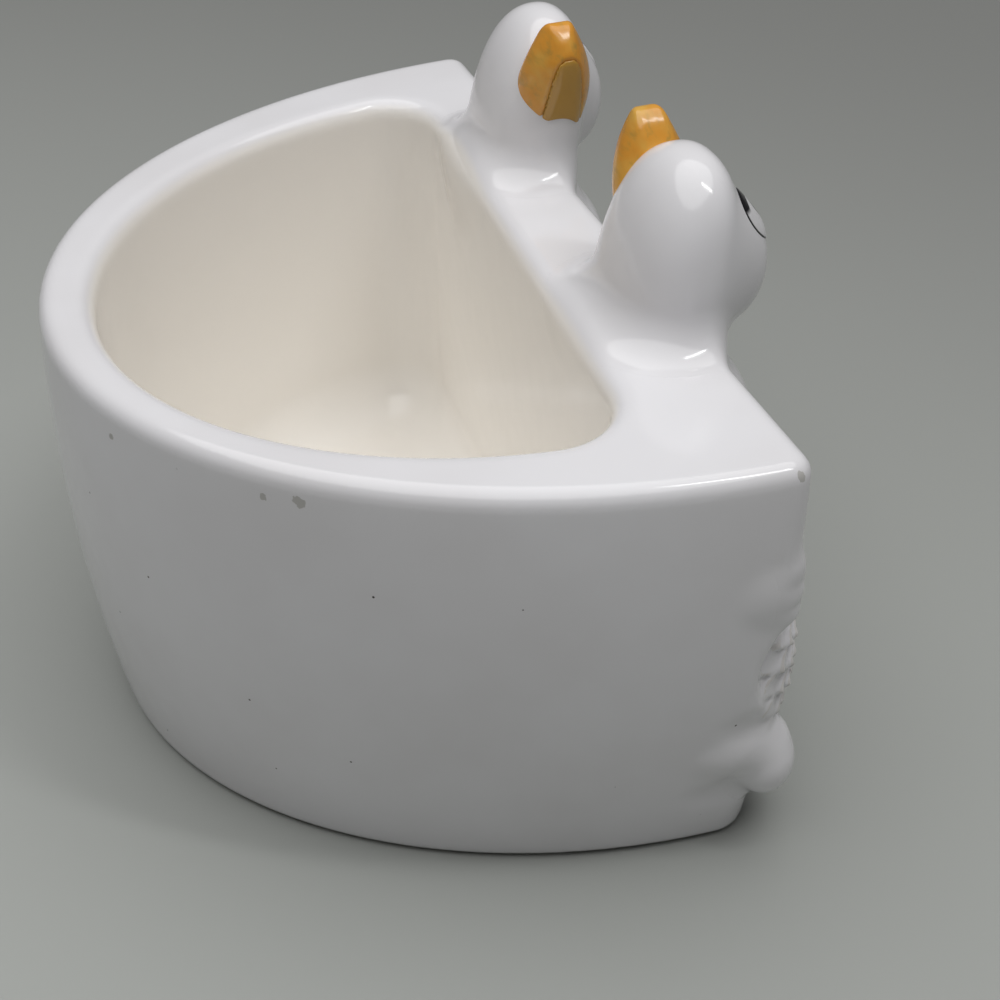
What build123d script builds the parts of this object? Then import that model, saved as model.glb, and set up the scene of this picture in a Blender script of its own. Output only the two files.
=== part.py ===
from build123d import *
import math
import os

# Half-round ceramic planter with a pair of geese that face each other across the front.
# Millimetres. +Z is up, the front wall with the geese faces -Y, and the geese look along X.
# The origin is on the table, under the middle of the planter's box.

# Pot
POT_WIDTH = 160.0         # across the two front corners of the rim
POT_DEPTH = 97.0          # front wall to the back of the rim
RIM_HEIGHT = 77.5         # table to the top of the rim
BELLY_HEIGHT = 38.0       # height of the fullest part of the wall
BELLY_SIDE = 0.5          # how far the wall swells out there, at the sides
BELLY_BACK = 1.3          # and at the back
BELLY_FRONT = 1.2         # how far the front wall is drawn in there
FOOT_SIDE = 6.0           # how far the wall is drawn in at the table, at the sides
FOOT_BACK = 2.4           # and at the back
FOOT_FRONT = 2.0          # and at the front, under the geese
FOOT_CORNER = 7.0         # plan radius of the front corners at the table
BELLY_CORNER = 6.0        # plan radius of the front corners at the belly
RIM_CORNER = 3.6          # plan radius of the front corners at the rim
FOOT_ROUNDING = 2.4       # round of the edge that meets the table
RIM_OUTER_ROUNDING = 2.4  # round of the rim's outer edge
RIM_INNER_ROUNDING = 3.0  # round of the rim's inner edge
RECESS_DEPTH = 1.2        # dry recess in the underside
FOOT_RING = 8.0           # width of the ring round that recess, on which the pot stands

# Plant pocket
RIM_SIDE = 17.5           # rim width at the two ends of the ledge
RIM_BACK = 8.5            # rim width at the back
LEDGE = 17.5              # shelf between the front wall and the pocket
POCKET_CORNER = 12.0      # plan radius of the pocket's front corners
FLOOR_THICKNESS = 8.0     # table to the pocket's floor
FLOOR_ROUNDING = 11.0     # round between the pocket's wall and its floor
POCKET_DRAFT = 1.5        # how much the pocket narrows down to its floor

# Hollow in each front corner, under the tail
HOLLOW_UP = 39.0          # its middle above the table
HOLLOW_HEIGHT = 20.0
HOLLOW_ACROSS = 13.0      # reach along the front wall
HOLLOW_BACK = 7.0         # reach along the side wall

# Goose body: across is measured from the middle of the planter, up from the table
BODY_GAP = 8.0            # middle of the planter to the breast end
BODY_CORNER_GAP = 2.0     # tail end to the front corner
BODY_UP = 36.0
BODY_SUNK = 2.5           # its middle lies this far behind the front wall
BODY_HEIGHT = 54.0
BODY_THICKNESS = 21.0

# Breast, a loft that rises out of the body into the neck
BREAST_ROOT_DROP = 42.0   # start below the rim, inside the body
BREAST_ROOT_ACROSS = 31.0
BREAST_ROOT_LENGTH = 24.0
BREAST_ROOT_WIDTH = 12.5
BREAST_DROP = 22.0        # fullest part of the breast below the rim
BREAST_ACROSS = 30.0
BREAST_LENGTH = 40.0
BREAST_WIDTH = 18.0
BREAST_TOP_DROP = 2.0     # end below the rim, inside the neck
BREAST_TOP_ACROSS = 31.5
BREAST_TOP_LENGTH = 25.0
BREAST_TOP_WIDTH = 10.0
BREAST_OUT = 0.5          # its middle stands this far in front of the front wall
BREAST_ROUNDING = 4.8     # corner radius of its section

# Head and neck: one tall egg that leans forward, with a cheek in front
HEAD_ACROSS = 31.8
HEAD_RISE = 2.5           # its middle above the rim
HEAD_SUNK = 3.7           # its middle lies this far behind the front wall
HEAD_LENGTH = 29.8
HEAD_WIDTH = 18.8
HEAD_HEIGHT = 49.6
HEAD_LEAN = 11.5          # degrees that it leans forward
NECK_RISE = 7.0           # the neck ends and the head starts this far above the rim
CHEEK_BEHIND = 2.8        # cheek behind the head's middle, away from the bill
CHEEK_RISE = 9.3          # cheek above the rim
CHEEK_OUT = 4.2           # cheek's middle in front of the front wall
CHEEK_LENGTH = 18.5
CHEEK_WIDTH = 17.0
CHEEK_HEIGHT = 23.5

# Eye
EYE_BEHIND = 4.4          # behind the head's middle
EYE_RISE = 16.0           # above the rim
EYE_LENGTH = 6.6
EYE_HEIGHT = 9.2
EYE_BULGE = 0.5           # how far it stands out of the head

# Bill: three sections from the face to the tip, each a ridge, two lower corners and a belly
BILL_RISE = 15.5          # its middle above the rim
BILL_SUNK = 0.4           # its middle lies this far behind the front wall
BILL_FACE_AHEAD = 7.0     # ahead of the head's middle, inside the head
BILL_MID_AHEAD = 15.0
BILL_TIP_AHEAD = 18.6
BILL_FACE_WIDTH = 15.0
BILL_MID_WIDTH = 12.4
BILL_TIP_WIDTH = 4.8
BILL_FACE_RIDGE = 9.6     # ridge above the bill's middle
BILL_MID_RIDGE = 9.5
BILL_TIP_RIDGE = 9.2
BILL_FACE_CORNER = -9.5   # lower corners above the bill's middle
BILL_MID_CORNER = -4.6
BILL_TIP_CORNER = 6.0
BILL_BULGE = 0.16         # swell of each side, as a share of its length
MOUTH_TIP_RISE = 6.8      # mouth line above the bill's middle, at the tip
MOUTH_FACE_RISE = -5.5    # mouth line above the bill's middle, at the face

# Wing: overlapping rows of round feathers that lie on the body, with a pointed tip
WING_START = 31.0         # round shoulder end
WING_CORNER_GAP = 3.0     # tip to the front corner
WING_SHOULDER = 19.0      # shoulder end to the widest part
WING_UP = 39.0
WING_WIDTH = 28.0
WING_RISE = -2.0          # degrees that the tip rises
WING_LIFT = 1.2           # how far the row at the tip stands out of the body
FEATHER_PITCH = 5.6       # one feather to the next in a row
FEATHER_RADIUS = 3.1      # round end of a feather
FEATHER_ROW_PITCH = 6.4   # one row to the next
FEATHER_STEP = 0.5        # how far each row stands over the next
FEATHER_INSET = 0.35      # how far each row's outer edge lies inside the next row's

# Tail: a fan of pointed feathers whose tips reach the front corner
TAIL_LENGTH = 22.0        # root of the fan to the front corner
TAIL_UP = 47.5
TAIL_SUNK = 2.0           # root behind the front wall
TAIL_ANGLES = (10.0, 20.0, 30.0)
TAIL_WIDTH = 7.6
TAIL_THICKNESS = 7.2

# Foot: a round heel at the corner and a flat web towards the middle
HEEL_CORNER_GAP = 6.5     # middle of the heel to the front corner
HEEL_SUNK = 2.6           # its middle lies this far behind the front wall
HEEL_UP = 19.0
HEEL_SIZE = (14.0, 10.0, 16.0)
WEB_CORNER_GAP = 17.0     # middle of the web to the front corner
WEB_UP = 13.5
WEB_SIZE = (30.0, 13.0, 11.0)

# Places that follow from the sizes above
FRONT_REACH = CHEEK_OUT + CHEEK_WIDTH / 2     # the cheeks are the most forward points
BACK_REACH = POT_DEPTH + BELLY_BACK           # and the belly at the back is the rearmost
FRONT_Y = (FRONT_REACH - BACK_REACH) / 2      # plane of the front wall
CORNER = POT_WIDTH / 2
BODY_LENGTH = CORNER - BODY_CORNER_GAP - BODY_GAP
BODY_CENTRE = (BODY_GAP + BODY_LENGTH / 2, FRONT_Y + BODY_SUNK, BODY_UP)
BODY_SIZE = (BODY_LENGTH, BODY_THICKNESS, BODY_HEIGHT)
HEAD_CENTRE = (HEAD_ACROSS, FRONT_Y + HEAD_SUNK, RIM_HEIGHT + HEAD_RISE)
HEAD_SIZE = (HEAD_LENGTH, HEAD_WIDTH, HEAD_HEIGHT)
BILL_Z = RIM_HEIGHT + BILL_RISE
CHEEK_CENTRE = (HEAD_ACROSS + CHEEK_BEHIND, FRONT_Y - CHEEK_OUT, RIM_HEIGHT + CHEEK_RISE)
CHEEK_SIZE = (CHEEK_LENGTH, CHEEK_WIDTH, CHEEK_HEIGHT)
WING_LENGTH = CORNER - WING_CORNER_GAP - WING_START
WING_TIP = WING_LENGTH - WING_SHOULDER        # widest part to the tip
FEATHER_ROWS = math.floor(WING_LENGTH / FEATHER_ROW_PITCH) - 1   # on top of the row at the tip


def ellipsoid(centre, size, lean=0):
    """Egg form with its middle at centre, full sizes along X, Y and Z, leaning towards -Y."""
    halves = tuple(length / 2 for length in size)
    return Pos(*centre) * Rot(lean, 0, 0) * scale(Sphere(1), by=halves)


def grown(size, margin):
    """Full sizes of a form that is larger by margin on every side."""
    return tuple(length + 2 * margin for length in size)


def half_round(half_width, depth, corner, front_y, height):
    """Level face with a half-ellipse at the back, straight along the front, corners rounded."""
    back = EllipticalCenterArc((0, front_y), half_width, depth, start_angle=0, arc_size=180)
    front = Line(back @ 1, back @ 0)
    outline = make_face([back, front])
    return Pos(0, 0, height) * fillet(outline.vertices(), corner)


def pot_outline(side, back, front, corner, height):
    """Outside of the pot at one height, drawn in at its sides, back and front."""
    depth = POT_DEPTH - back - front
    return half_round(CORNER - side, depth, corner, FRONT_Y + front, height)


def pocket_outline(inset, height):
    """Outside of the plant pocket at one height, drawn in by inset all round."""
    half_width = CORNER - RIM_SIDE - inset
    depth = POT_DEPTH - LEDGE - RIM_BACK - 2 * inset
    return half_round(half_width, depth, POCKET_CORNER, FRONT_Y + LEDGE + inset, height)


def make_pot():
    """Pot with its pocket, rounded rim and dry foot, before the corner hollows are cut."""
    outside = loft([
        pot_outline(FOOT_SIDE, FOOT_BACK, FOOT_FRONT, FOOT_CORNER, 0),
        pot_outline(-BELLY_SIDE, -BELLY_BACK, BELLY_FRONT, BELLY_CORNER, BELLY_HEIGHT),
        pot_outline(0, 0, 0, RIM_CORNER, RIM_HEIGHT),
    ])
    outside = fillet(outside.faces().sort_by(Axis.Z)[0].edges(), FOOT_ROUNDING)
    pocket = loft([
        pocket_outline(POCKET_DRAFT, FLOOR_THICKNESS),
        pocket_outline(0, RIM_HEIGHT),
    ], ruled=True)
    pocket = fillet(pocket.faces().sort_by(Axis.Z)[0].edges(), FLOOR_ROUNDING)
    pot = outside - pocket
    pot = fillet(pot.faces().sort_by(Axis.Z)[-1].outer_wire().edges(), RIM_OUTER_ROUNDING)
    pot = fillet(pot.faces().sort_by(Axis.Z)[-1].inner_wires()[0].edges(), RIM_INNER_ROUNDING)
    insets = (inset + FOOT_RING for inset in (FOOT_SIDE, FOOT_BACK, FOOT_FRONT))
    recess = pot_outline(*insets, FOOT_CORNER, 0)
    return pot - extrude(recess, RECESS_DEPTH)


def corner_hollow():
    """Form that hollows the right front corner."""
    corner = (CORNER, FRONT_Y, HOLLOW_UP)
    return ellipsoid(corner, (2 * HOLLOW_ACROSS, 2 * HOLLOW_BACK, HOLLOW_HEIGHT))


def breast_section(across, length, width, drop):
    place = Pos(across, FRONT_Y - BREAST_OUT, RIM_HEIGHT - drop)
    return place * RectangleRounded(length, width, BREAST_ROUNDING)


def breast_form():
    return loft([
        breast_section(BREAST_ROOT_ACROSS, BREAST_ROOT_LENGTH, BREAST_ROOT_WIDTH, BREAST_ROOT_DROP),
        breast_section(BREAST_ACROSS, BREAST_LENGTH, BREAST_WIDTH, BREAST_DROP),
        breast_section(BREAST_TOP_ACROSS, BREAST_TOP_LENGTH, BREAST_TOP_WIDTH, BREAST_TOP_DROP),
    ])


def eye_form():
    """Oval that follows the front of the head and stands out of it by the eye's bulge."""
    centre = (HEAD_ACROSS + EYE_BEHIND, FRONT_Y, RIM_HEIGHT + EYE_RISE)
    oval = Plane(centre, x_dir=(1, 0, 0), z_dir=(0, -1, 0)) * Ellipse(EYE_LENGTH / 2, EYE_HEIGHT / 2)
    raised_head = ellipsoid(HEAD_CENTRE, grown(HEAD_SIZE, EYE_BULGE), HEAD_LEAN)
    raised_cheek = ellipsoid(CHEEK_CENTRE, grown(CHEEK_SIZE, EYE_BULGE))
    return (raised_head + raised_cheek) & extrude(oval, FRONT_REACH)


def bill_section(ahead, width, ridge, corner):
    """Three swelling sides between the ridge and the two lower corners, facing the bill's tip."""
    top = (0, ridge)
    left = (-width / 2, corner)
    right = (width / 2, corner)
    side = math.hypot(width / 2, ridge - corner)
    swell = BILL_BULGE * side
    out = ((ridge - corner) / side * swell, width / 2 / side * swell)
    middle = (ridge + corner) / 2
    outline = make_face([
        ThreePointArc(top, (-width / 4 - out[0], middle + out[1]), left),
        ThreePointArc(left, (0, corner - BILL_BULGE * width / 2), right),
        ThreePointArc(right, (width / 4 + out[0], middle + out[1]), top),
    ])
    place = Plane((HEAD_ACROSS - ahead, FRONT_Y + BILL_SUNK, BILL_Z), x_dir=(0, 1, 0), z_dir=(1, 0, 0))
    return place * outline


def bill_form():
    return loft([
        bill_section(BILL_FACE_AHEAD, BILL_FACE_WIDTH, BILL_FACE_RIDGE, BILL_FACE_CORNER),
        bill_section(BILL_MID_AHEAD, BILL_MID_WIDTH, BILL_MID_RIDGE, BILL_MID_CORNER),
        bill_section(BILL_TIP_AHEAD, BILL_TIP_WIDTH, BILL_TIP_RIDGE, BILL_TIP_CORNER),
    ])


def mouth_plane():
    """Plane through the mouth line, with its normal towards the upper bill."""
    run = BILL_TIP_AHEAD - BILL_FACE_AHEAD
    rise = MOUTH_TIP_RISE - MOUTH_FACE_RISE
    face = (HEAD_ACROSS - BILL_FACE_AHEAD, FRONT_Y + BILL_SUNK, BILL_Z + MOUTH_FACE_RISE)
    return Plane(face, x_dir=(0, 1, 0), z_dir=(rise, 0, run))


def wing_outline(inset):
    """Round shoulder and pointed tip seen from the front, drawn in by inset."""
    half_width = WING_WIDTH / 2 - inset
    tip = (WING_TIP - 2 * inset, 0)
    shoulder = EllipticalCenterArc((0, 0), WING_SHOULDER - inset, half_width, start_angle=90, arc_size=180)
    upper = TangentArc(shoulder @ 0, tip, tangent=(1, 0))
    lower = TangentArc(shoulder @ 1, tip, tangent=(1, 0))
    return make_face([shoulder, lower, upper])


def feather_row(row):
    """Everything on the shoulder side of one scalloped row of feather ends."""
    edge = WING_TIP - (row + 0.5) * FEATHER_ROW_PITCH
    plan = Pos(edge - WING_LENGTH / 2, 0) * Rectangle(WING_LENGTH, 2 * WING_WIDTH)
    count = math.ceil(WING_WIDTH / 2 / FEATHER_PITCH) + 1
    shift = row % 2 / 2
    for place in range(-count, count + 1):
        plan += Pos(edge, (place + shift) * FEATHER_PITCH) * Circle(FEATHER_RADIUS)
    return plan


def wing_form():
    """Layers that follow the body: each row nearer to the shoulder stands further out."""
    place = Pos(WING_START + WING_SHOULDER, FRONT_Y, WING_UP) * Rot(0, -WING_RISE, 0)
    wing = Part()
    for row in range(FEATHER_ROWS + 1):
        plan = wing_outline(row * FEATHER_INSET)
        if row > 0:
            plan = plan & feather_row(row)
        column = place * extrude(Plane.XZ * plan, BODY_THICKNESS)
        wing += column & ellipsoid(BODY_CENTRE, grown(BODY_SIZE, WING_LIFT + row * FEATHER_STEP))
    return wing


def tail_form():
    """Fan of feathers from one root; each is as long as it needs to reach the corner."""
    root = Pos(CORNER - TAIL_LENGTH, FRONT_Y + TAIL_SUNK, TAIL_UP)
    fan = Part()
    for angle in TAIL_ANGLES:
        length = TAIL_LENGTH / math.cos(math.radians(angle))
        feather = ellipsoid((length / 2, 0, 0), (length, TAIL_THICKNESS, TAIL_WIDTH))
        fan += root * Rot(0, -angle, 0) * feather
    return fan


def foot_form():
    heel = ellipsoid((CORNER - HEEL_CORNER_GAP, FRONT_Y + HEEL_SUNK, HEEL_UP), HEEL_SIZE)
    web = ellipsoid((CORNER - WEB_CORNER_GAP, FRONT_Y, WEB_UP), WEB_SIZE)
    return heel + web


def make_goose(pot):
    """The right goose's pieces, each cut to seat on the pieces that carry it."""
    body = ellipsoid(BODY_CENTRE, BODY_SIZE) - pot
    egg = ellipsoid(HEAD_CENTRE, HEAD_SIZE, HEAD_LEAN)
    throat = Plane.XY.offset(RIM_HEIGHT + NECK_RISE)
    crown = split(egg, bisect_by=throat, keep=Keep.TOP)
    head = crown + ellipsoid(CHEEK_CENTRE, CHEEK_SIZE) - pot
    wing = wing_form() - body - pot
    stem = split(egg, bisect_by=throat, keep=Keep.BOTTOM)
    neck = stem + breast_form() - pot - body - head - wing
    bill = bill_form() - head - neck
    tail = tail_form() - body - pot - wing
    foot = foot_form() - body - pot - wing
    return {
        "goose_body": body,
        "goose_neck": neck,
        "goose_head": head,
        "upper_bill": split(bill, bisect_by=mouth_plane(), keep=Keep.TOP),
        "lower_bill": split(bill, bisect_by=mouth_plane(), keep=Keep.BOTTOM),
        "eye": eye_form() - head,
        "wing": wing,
        "tail": tail,
        "foot": foot,
    }


def main():
    os.makedirs("parts", exist_ok=True)
    plain_pot = make_pot()
    right_hollow = corner_hollow()
    nodes = {"pot_shell": plain_pot - right_hollow - mirror(right_hollow, about=Plane.YZ)}
    for name, piece in make_goose(plain_pot).items():
        nodes["right_" + name] = piece
        nodes["left_" + name] = mirror(piece, about=Plane.YZ)
    for name, piece in nodes.items():
        export_step(piece, os.path.join("parts", name + ".step"))
        print(name, len(piece.solids()), round(piece.volume))


if __name__ == "__main__":
    main()
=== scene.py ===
# %% [markdown]
# # A half-round planter with two geese
# The real object is one white earthenware casting: a pot with a half-round plan, and two geese in
# relief on its flat front, with their heads above the rim. The bills and eyes are painted.
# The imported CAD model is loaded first. It sets the size and the frame, and nothing in it is moved.

# %% Load the frame
import bpy
import math
import numpy as np
from mathutils import Matrix, Vector


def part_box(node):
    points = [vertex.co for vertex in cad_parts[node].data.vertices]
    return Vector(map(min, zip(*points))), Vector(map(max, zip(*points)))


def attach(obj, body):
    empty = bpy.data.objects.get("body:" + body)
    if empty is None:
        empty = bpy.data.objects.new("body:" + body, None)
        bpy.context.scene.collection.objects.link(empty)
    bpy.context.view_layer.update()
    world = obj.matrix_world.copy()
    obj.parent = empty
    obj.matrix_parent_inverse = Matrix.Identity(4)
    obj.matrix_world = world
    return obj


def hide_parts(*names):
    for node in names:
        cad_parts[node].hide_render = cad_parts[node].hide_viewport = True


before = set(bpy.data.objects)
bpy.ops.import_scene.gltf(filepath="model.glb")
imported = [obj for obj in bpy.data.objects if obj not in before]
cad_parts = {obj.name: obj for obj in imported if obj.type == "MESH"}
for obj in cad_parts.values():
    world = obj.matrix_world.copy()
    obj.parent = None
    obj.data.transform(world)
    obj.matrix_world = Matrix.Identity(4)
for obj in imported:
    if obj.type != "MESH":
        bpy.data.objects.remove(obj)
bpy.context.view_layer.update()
MM = 0.001

# %% [markdown]
# ## Working frame
# Clay is easier to think about in millimetres, counted from the plane of the front wall: x runs
# across from the middle, y backwards from that wall, z up from the table. The size of the pot and
# the places of head, bill and eye are read from the CAD nodes, so the clay lands where the solids are.

# %% Read places from the nodes
FRONT_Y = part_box("pot_shell")[0].y


def node_box(name):
    """Lowest and highest corner of a CAD node in millimetres from the front wall."""
    shift = np.array([0, FRONT_Y, 0])
    low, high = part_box(name)
    return (np.array(low) - shift) / MM, (np.array(high) - shift) / MM


pot_low, pot_high = node_box("pot_shell")
RIM = pot_high[2]
print("pot box from the front wall:", pot_low.round(1), pot_high.round(1))

# %% [markdown]
# ## Camera
# The camera stands where the photograph was taken: left of the pot and level with its back, looking
# down into the pocket, with a slight roll. It comes first, because every later choice is judged
# through it. A matrix from three axes is the plainest way to set a rolled view.

# %% Set the camera
CAMERA_PLACE = (-248.7, 103.3, 215.1)
CAMERA_TURN = math.radians(108.41)
CAMERA_DIP = math.radians(36.42)
CAMERA_ROLL = math.radians(-1.58)
CAMERA_LENS = 61.7
SENSOR = 36.0
NEAREST = 0.01

ahead = Vector((
    math.sin(CAMERA_TURN) * math.cos(CAMERA_DIP),
    math.cos(CAMERA_TURN) * math.cos(CAMERA_DIP),
    -math.sin(CAMERA_DIP),
))
level = Vector((math.cos(CAMERA_TURN), -math.sin(CAMERA_TURN), 0))
over = level.cross(ahead)
right = math.cos(CAMERA_ROLL) * level + math.sin(CAMERA_ROLL) * over
top = math.cos(CAMERA_ROLL) * over - math.sin(CAMERA_ROLL) * level
lens = bpy.data.cameras.new("photo_camera")
lens.lens = CAMERA_LENS
lens.sensor_width = SENSOR
lens.clip_start = NEAREST
camera = bpy.data.objects.new("photo_camera", lens)
bpy.context.scene.collection.objects.link(camera)
turn = Matrix((right, top, -ahead)).transposed().to_4x4()
camera.matrix_world = Matrix.Translation(Vector(CAMERA_PLACE) * MM + Vector((0, FRONT_Y, 0))) @ turn
bpy.context.scene.camera = camera
print("camera looks along", [round(c, 3) for c in ahead])

# %% [markdown]
# ## Clay
# A glazed casting has no sharp joints: slip and glaze run into every corner. Booleans leave hard
# seams there, and metaballs are hard to aim. So each form is written as a distance: below zero
# inside, above zero outside. Two forms join, meet or cut each other with a rounded edge of a
# chosen radius, which is how wet clay is smoothed with a sponge.

# %% Forms and how they join
TINY = 1e-9


def oval(x, y, half_x, half_y, squareness=2.0):
    """Distance to an oval in a plane; a squareness over 2 flattens its sides."""
    share_x = np.abs(x / half_x) + TINY
    share_y = np.abs(y / half_y) + TINY
    size = (share_x ** squareness + share_y ** squareness) ** (1 / squareness)
    slope_x = (share_x / size) ** (squareness - 1) / half_x
    slope_y = (share_y / size) ** (squareness - 1) / half_y
    return (size - 1) / np.hypot(slope_x, slope_y)


def egg(points, centre, half, squareness=2.0):
    """Distance to an egg with the given half sizes."""
    share = np.abs((points - np.array(centre)) / np.array(half)) + TINY
    size = (share ** squareness).sum(1) ** (1 / squareness)
    slope = (share / size[:, None]) ** (squareness - 1) / np.array(half)
    return (size - 1) / np.sqrt((slope ** 2).sum(1))


def meet(a, b, radius):
    """What lies in both forms, with a rounded edge."""
    edge = np.hypot(np.maximum(a + radius, 0), np.maximum(b + radius, 0))
    return np.minimum(-radius, np.maximum(a, b)) + edge


def join(a, b, radius):
    """Both forms together, with a fillet between them."""
    return -meet(-a, -b, radius)


def cut(a, b, radius):
    """The first form without the second, with a rounded edge."""
    return meet(a, -b, radius)


def ease(share):
    """Smooth step from 0 to 1."""
    share = np.clip(share, 0, 1)
    return share * share * (3 - 2 * share)


# %% [markdown]
# ## Skin
# A form becomes a mesh by surface nets. Space is cut into small cells, each cell that the surface
# crosses gets one vertex, and each grid edge that crosses it gets one quad between four cells.
# The vertices then slide along the slope of the distance until they lie on the surface, and the
# first slides also draw each one towards its neighbours, so the shading is as smooth as the form.
# Blender's voxel remesh is similar, but it starts from a mesh, and here there is only a distance.

# %% Make a skin
CORNERS = [(i, j, k) for i in (0, 1) for j in (0, 1) for k in (0, 1)]
PAIRS = [(a, b) for a in range(8) for b in range(a)]
EDGES = [(a, b) for a, b in PAIRS if sum(np.abs(np.subtract(CORNERS[a], CORNERS[b]))) == 1]
SLIDES, RELAXED_SLIDES = 5, 2
SLOPE_REACH, LEAST_SLOPE = 1 / 8, 0.05


def slope_of(form, points, reach):
    """Gradient of a form by central differences."""
    slope = np.empty_like(points)
    for axis in range(3):
        offset = np.zeros(3)
        offset[axis] = reach
        slope[:, axis] = (form(points + offset) - form(points - offset)) / (2 * reach)
    return slope


def skin(form, low, high, step):
    """Vertices and quads on the zero level of a form, inside a box."""
    axes = [np.arange(a - step, b + 2 * step, step) for a, b in zip(low, high)]
    shape = [len(axis) for axis in axes]
    level = np.empty(shape)
    for slab, x in enumerate(axes[0]):
        y, z = np.meshgrid(axes[1], axes[2], indexing="ij")
        sheet = np.stack([np.full(y.size, x), y.ravel(), z.ravel()], 1)
        level[slab] = form(sheet).reshape(y.shape)
    inside = level < 0

    cells = [n - 1 for n in shape]
    near = [inside[i:i + cells[0], j:j + cells[1], k:k + cells[2]] for i, j, k in CORNERS]
    count = np.sum(near, axis=0)
    crossed = (count > 0) & (count < 8)
    number = np.full(cells, -1)
    number[crossed] = np.arange(crossed.sum())
    place = np.argwhere(crossed)
    levels = [level[tuple((place + corner).T)] for corner in CORNERS]
    total = np.zeros(place.shape)
    weight = np.zeros(len(place))
    for a, b in EDGES:
        changes = (levels[a] < 0) != (levels[b] < 0)
        share = np.where(changes, levels[a] / np.where(changes, levels[a] - levels[b], 1), 0)
        point = np.array(CORNERS[a]) + share[:, None] * np.subtract(CORNERS[b], CORNERS[a])
        total += changes[:, None] * point
        weight += changes
    vertices = np.array([axis[0] for axis in axes]) + (place + total / weight[:, None]) * step

    quads = []
    for axis in range(3):
        u, v = (axis + 1) % 3, (axis + 2) % 3
        unit = np.eye(3, dtype=int)
        low_end = np.moveaxis(inside, axis, 0)[:-1]
        high_end = np.moveaxis(inside, axis, 0)[1:]
        found = np.argwhere(np.moveaxis(low_end != high_end, 0, axis))
        found = found[(found[:, u] > 0) & (found[:, v] > 0)]
        found = found[(found[:, u] < cells[u]) & (found[:, v] < cells[v])]
        ring = [found - unit[u] - unit[v], found - unit[v], found, found - unit[u]]
        quad = np.stack([number[tuple(cell.T)] for cell in ring], 1)
        outward = inside[tuple(found.T)]
        quads.append(np.where(outward[:, None], quad, quad[:, ::-1]))

    quads = np.concatenate(quads)
    start, end = np.concatenate([quads[:, [a, a - 3]] for a in range(4)]).T
    neighbours = np.bincount(start, minlength=len(vertices))
    for slide in range(SLIDES):
        if slide < RELAXED_SLIDES:
            sums = [np.bincount(start, vertices[end, axis], len(vertices)) for axis in range(3)]
            vertices = (vertices + np.stack(sums, 1) / neighbours[:, None]) / 2
        slope = slope_of(form, vertices, step * SLOPE_REACH)
        reach = form(vertices) / np.maximum((slope ** 2).sum(1), LEAST_SLOPE)
        vertices = vertices - np.clip(reach, -step, step)[:, None] * slope
    return vertices, quads


def to_frame(points):
    """Working millimetres to Blender's metres in the CAD frame."""
    return points * MM + np.array([0, FRONT_Y, 0])


def make_piece(name, vertices, faces):
    """A smooth-shaded mesh object from working millimetres."""
    mesh = bpy.data.meshes.new(name)
    mesh.from_pydata(to_frame(vertices).tolist(), [], faces.tolist())
    mesh.validate()
    mesh.shade_smooth()
    piece = bpy.data.objects.new(name, mesh)
    bpy.context.scene.collection.objects.link(piece)
    print(name, "vertices:", len(mesh.vertices), "faces:", len(mesh.polygons))
    return piece


def paint(piece, name, values):
    """One number for each vertex, for the materials to read."""
    layer = piece.data.attributes.new(name, "FLOAT", "POINT")
    layer.data.foreach_set("value", values.astype(np.float32))


# %% [markdown]
# ## Pot
# The pot was cast in a plaster mould: a half-ellipse behind a straight front, walls that swell at
# the belly and draw in at the foot, a broad soft rim, a wide ledge behind the geese and a deep
# pocket for the plant. A revolve can't make this plan, so the walls are ovals whose sizes follow a
# curve through three heights: foot, belly and rim.

# %% Plan and wall
BELLY_UP = 38.0
SIDE_INSETS, BACK_INSETS, FRONT_INSETS = (6.0, -0.5, 0.0), (2.4, -1.3, 0.0), (2.0, 1.2, 0.0)
CORNER_ROUNDS = (7.0, 6.0, 3.6)


def through(heights, values, z):
    """Smooth curve through values at given heights, level beyond the ends."""
    curve = np.polynomial.Polynomial.fit(heights, values, len(heights) - 1)
    return curve(np.clip(z, heights[0], heights[-1]))


def at_wall(values, z):
    """A value of the wall at some height, from its values at foot, belly and rim."""
    return through((0, BELLY_UP, RIM), values, z)


def half_round(x, y, half_width, depth, front, corner):
    """Distance to the half-round plan."""
    return meet(oval(x, y - front, half_width, depth), front - y, corner)


heights = np.linspace(0, RIM, 200)
CORNER = pot_high[0] + at_wall(SIDE_INSETS, heights).min()
DEPTH = pot_high[1] + at_wall(BACK_INSETS, heights).min()
print("rim's half width, depth and height:", CORNER.round(1), DEPTH.round(1), RIM.round(1))

# %% [markdown]
# ## Pocket and corner relief
# The pocket is the same half-round plan, drawn in, with a round floor. On this pot it sits a little
# askew, and the ledge is wider behind the left goose. At each front corner the goose's tail and foot
# wrap round to the side: the wall swells softly there, is hollowed under the tail and grooved above
# and below the foot. Sculpting strokes would be hard to repeat, so these are eggs that are joined to
# the wall or cut from it with rounded edges.

# %% Pot
FOOT_ROUND, RIM_ROUND, LIP_ROUND = 2.2, 2.6, 3.2
RIM_SIDE, RIM_BACK, LEDGE = 17.5, 8.5, 17.5
POCKET_CORNER, POCKET_FLOOR, FLOOR_ROUND, POCKET_DRAFT, POCKET_SKEW = 12.0, 8.0, 11.0, 1.5, 0.05
HOLLOW = ((CORNER, 0.0, 39.5), (13.0, 6.5, 10.0))
SWELLS = (((CORNER - 4.8, 6.0, 55.5), (5.4, 5.5, 6.0)), ((CORNER - 5.4, 7.0, 22.5), (4.6, 7.5, 4.0)))
GROOVES = (((CORNER + 2.6, 3.0, 29.0), (3.4, 9.0, 2.6)), ((CORNER - 0.1, 5.0, 13.0), (3.2, 12.0, 2.8)))
HOLLOW_ROUND, SWELL_FILLET, GROOVE_ROUND = 1.5, 3.0, 3.0
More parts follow.
